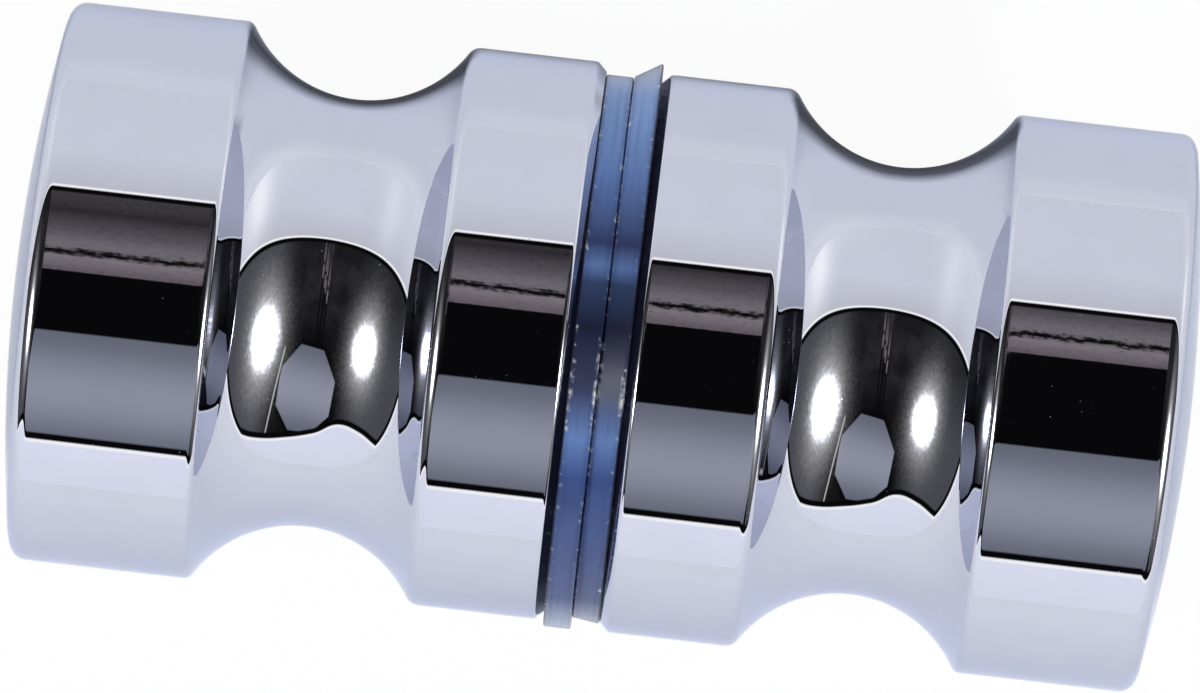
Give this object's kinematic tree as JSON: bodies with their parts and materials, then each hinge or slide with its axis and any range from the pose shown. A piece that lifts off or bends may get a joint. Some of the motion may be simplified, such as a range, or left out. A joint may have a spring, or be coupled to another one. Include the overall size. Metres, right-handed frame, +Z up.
{
  "type": "glass door knob",
  "caption": "Back-to-back chrome knob for a glass door: domed turned knobs with a finger groove, joined by a hidden stud that clamps the glass between clear washers.",
  "frame": {"origin": "on the stud's axis, at the plane where the two washers meet, which is the middle of the glass", "axes": "+X along the stud towards the inner knob, +Z up on an upright door, +Y across"},
  "size_m": [0.063, 0.0306, 0.0302],
  "materials": {
    "polished_chrome": "polished chrome plating on turned metal",
    "clear_vinyl": "soft translucent vinyl with a blue tint",
    "plated_steel": "plain plated thread"
  },
  "bodies": {
    "root": {"outer_knob": "polished_chrome", "inner_knob": "polished_chrome", "outer_washer": "clear_vinyl", "inner_washer": "clear_vinyl", "joining_stud": "plated_steel"}
  },
  "joints": []
}
